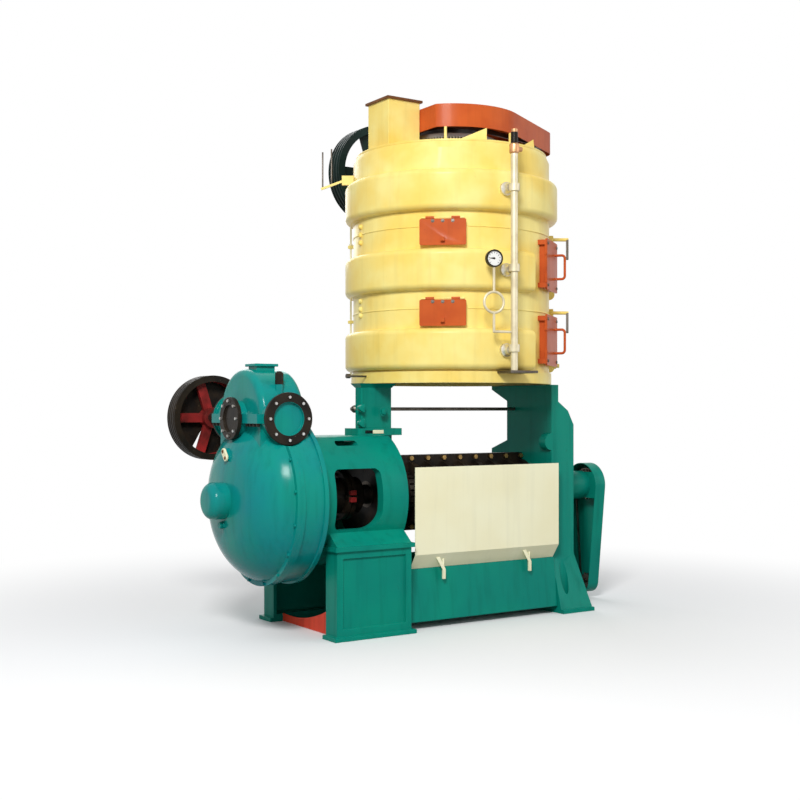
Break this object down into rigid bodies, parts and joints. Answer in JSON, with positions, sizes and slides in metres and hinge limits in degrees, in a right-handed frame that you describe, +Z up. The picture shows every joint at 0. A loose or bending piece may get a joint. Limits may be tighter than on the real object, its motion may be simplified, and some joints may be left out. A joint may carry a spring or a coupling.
{
  "type": "screw oil press",
  "caption": "Screw oil press: gearbox, drum frame, pressing barrel over an oil trough, cake-end frame with hood and chain case, and a steam-jacketed cooker on top.",
  "frame": {"origin": "midpoint of the four foundation bolt holes, at floor level", "axes": "+X along the barrel from the gearbox to the cake end, +Y away from the operator's side, +Z up"},
  "size_m": [2.934, 1.8099, 3.323],
  "materials": {
    "casting": "glossy blue-green enamel over castings",
    "vessel_paint": "glossy golden yellow enamel over plate",
    "red_paint": "orange-red enamel",
    "dark_paint": "dark green-black enamel",
    "cream_paint": "cream enamel",
    "steel": "machined steel",
    "pipe_zinc": "galvanised pipe",
    "brass": "dull brass"
  },
  "bodies": {
    "frame": {"left_frame": "casting", "front_leg": "casting", "rear_leg": "casting", "feed_column": "casting", "right_frame": "casting", "oil_bed": "casting", "gearbox_case": "casting", "gearbox_end_cover": "casting", "gearbox_upper_cover": "casting", "cage_front_half": "casting", "cage_rear_half": "casting", "cooker_decks": "casting", "chain_case": "casting", "shaft_hood": "casting", "cooker_shell": "vessel_paint", "lower_jacket": "vessel_paint", "middle_jacket": "vessel_paint", "upper_jacket": "vessel_paint", "cooker_lid": "vessel_paint", "feed_chute": "vessel_paint", "door_frames": "vessel_paint", "vessel_fittings": "vessel_paint", "lid_supports": "vessel_paint", "gear_cover": "red_paint", "stand_web": "red_paint", "bearing_housings": "dark_paint", "tie_rod": "steel", "gearbox_bolts": "steel", "bearings": "steel", "cage_bars": "steel", "cage_bolts": "steel", "drive_chains": "steel", "steam_pipe": "pipe_zinc", "safety_valve": "brass", "pressure_gauge": "brass", "gearbox_fittings": "brass"},
    "main_drive": {"main_shaft": "steel", "main_gear": "steel", "worms": "steel", "shaft_coupling": "dark_paint"},
    "cross_drive": {"cross_shaft": "steel"},
    "input_drive": {"input_shaft": "steel", "input_pulley": "dark_paint"},
    "foots_drive": {"foots_screw": "steel"},
    "stirrer_drive": {"stirrer": "steel", "crown_gear": "steel"},
    "top_drive": {"top_shaft": "steel", "top_pulley": "dark_paint"},
    "side_drive": {"side_shaft": "steel"},
    "choke": {"choke_ring": "steel"},
    "guard": {"guard_panel": "cream_paint"},
    "lower_front_leaf": {"lower_front_door": "red_paint"},
    "upper_front_leaf": {"upper_front_door": "red_paint"},
    "lower_side_leaf": {"lower_side_door": "red_paint"},
    "upper_side_leaf": {"upper_side_door": "red_paint"},
    "lower_flap": {"lower_gate": "vessel_paint"},
    "upper_flap": {"upper_gate": "vessel_paint"},
    "level_arm": {"level_lever": "vessel_paint"},
    "link": {"link_rod": "cream_paint"},
    "slide": {"outlet_slide": "steel"}
  },
  "joints": [
    {"name": "main_shaft_spin", "type": "hinge", "parent": "frame", "child": "main_drive", "pos_m": [0, 0, 0.793], "axis": [1, 0, 0], "continuous": true},
    {"name": "cross_shaft_spin", "type": "hinge", "parent": "frame", "child": "cross_drive", "pos_m": [-1.161, 0, 1.265], "axis": [1, 0, 0], "continuous": true},
    {"name": "input_shaft_spin", "type": "hinge", "parent": "frame", "child": "input_drive", "pos_m": [-1.161, 0, 1.265], "axis": [0, 1, 0], "continuous": true},
    {"name": "foots_screw_spin", "type": "hinge", "parent": "frame", "child": "foots_drive", "pos_m": [0, 0, 0.12], "axis": [1, 0, 0], "continuous": true},
    {"name": "stirrer_spin", "type": "hinge", "parent": "frame", "child": "stirrer_drive", "pos_m": [0.212, 0, 1.5], "axis": [0, 0, 1], "continuous": true},
    {"name": "top_pulley_spin", "type": "hinge", "parent": "frame", "child": "top_drive", "pos_m": [0.212, 0, 2.981], "axis": [0, 1, 0], "continuous": true},
    {"name": "side_shaft_spin", "type": "hinge", "parent": "frame", "child": "side_drive", "pos_m": [0.895, 0, 2.9], "axis": [0, 0, 1], "continuous": true},
    {"name": "choke_slide", "type": "slide", "parent": "frame", "child": "choke", "axis": [1, 0, 0], "range_m": [0, 0.015]},
    {"name": "guard_lift", "type": "slide", "parent": "frame", "child": "guard", "axis": [0, 0, 1], "range_m": [0, 0.12]},
    {"name": "lower_front_door_swing", "type": "hinge", "parent": "frame", "child": "lower_front_leaf", "pos_m": [-0.20729, -0.49969, 1.978], "axis": [-0.766, 0.6428, 0], "range_deg": [0, 100]},
    {"name": "upper_front_door_swing", "type": "hinge", "parent": "frame", "child": "upper_front_leaf", "pos_m": [-0.20729, -0.49969, 2.459], "axis": [-0.766, 0.6428, 0], "range_deg": [0, 100]},
    {"name": "lower_side_door_swing", "type": "hinge", "parent": "frame", "child": "lower_side_leaf", "pos_m": [0.4887, -0.62103, 1.749], "axis": [0, 0, -1], "range_deg": [0, 110]},
    {"name": "upper_side_door_swing", "type": "hinge", "parent": "frame", "child": "upper_side_leaf", "pos_m": [0.4887, -0.62103, 2.22], "axis": [0, 0, -1], "range_deg": [0, 110]},
    {"name": "lower_gate_swing", "type": "hinge", "parent": "frame", "child": "lower_flap", "pos_m": [0.74204, -0.34421, 1.943], "axis": [-0.8387, 0.5446, 0], "range_deg": [0, 70]},
    {"name": "upper_gate_swing", "type": "hinge", "parent": "frame", "child": "upper_flap", "pos_m": [0.74204, -0.34421, 2.418], "axis": [-0.8387, 0.5446, 0], "range_deg": [0, 70]},
    {"name": "level_arm_swing", "type": "hinge", "parent": "frame", "child": "level_arm", "pos_m": [-0.36836, 0.37689, 2.8], "axis": [0.5446, 0.8387, 0], "range_deg": [0, 15]},
    {"name": "link_lift", "type": "slide", "parent": "frame", "child": "link", "axis": [0, 0, 1], "range_m": [0, 0.04]},
    {"name": "outlet_slide_travel", "type": "slide", "parent": "frame", "child": "slide", "axis": [1, 0, 0], "range_m": [0, 0.11]}
  ],
  "couplings": [
    {"joint": "cross_shaft_spin", "follows": "main_shaft_spin", "ratio": -4.7143},
    {"joint": "input_shaft_spin", "follows": "main_shaft_spin", "ratio": -11.786},
    {"joint": "foots_screw_spin", "follows": "main_shaft_spin", "ratio": 2},
    {"joint": "top_pulley_spin", "follows": "stirrer_spin", "ratio": -9.0909},
    {"joint": "side_shaft_spin", "follows": "stirrer_spin", "ratio": 3}
  ]
}
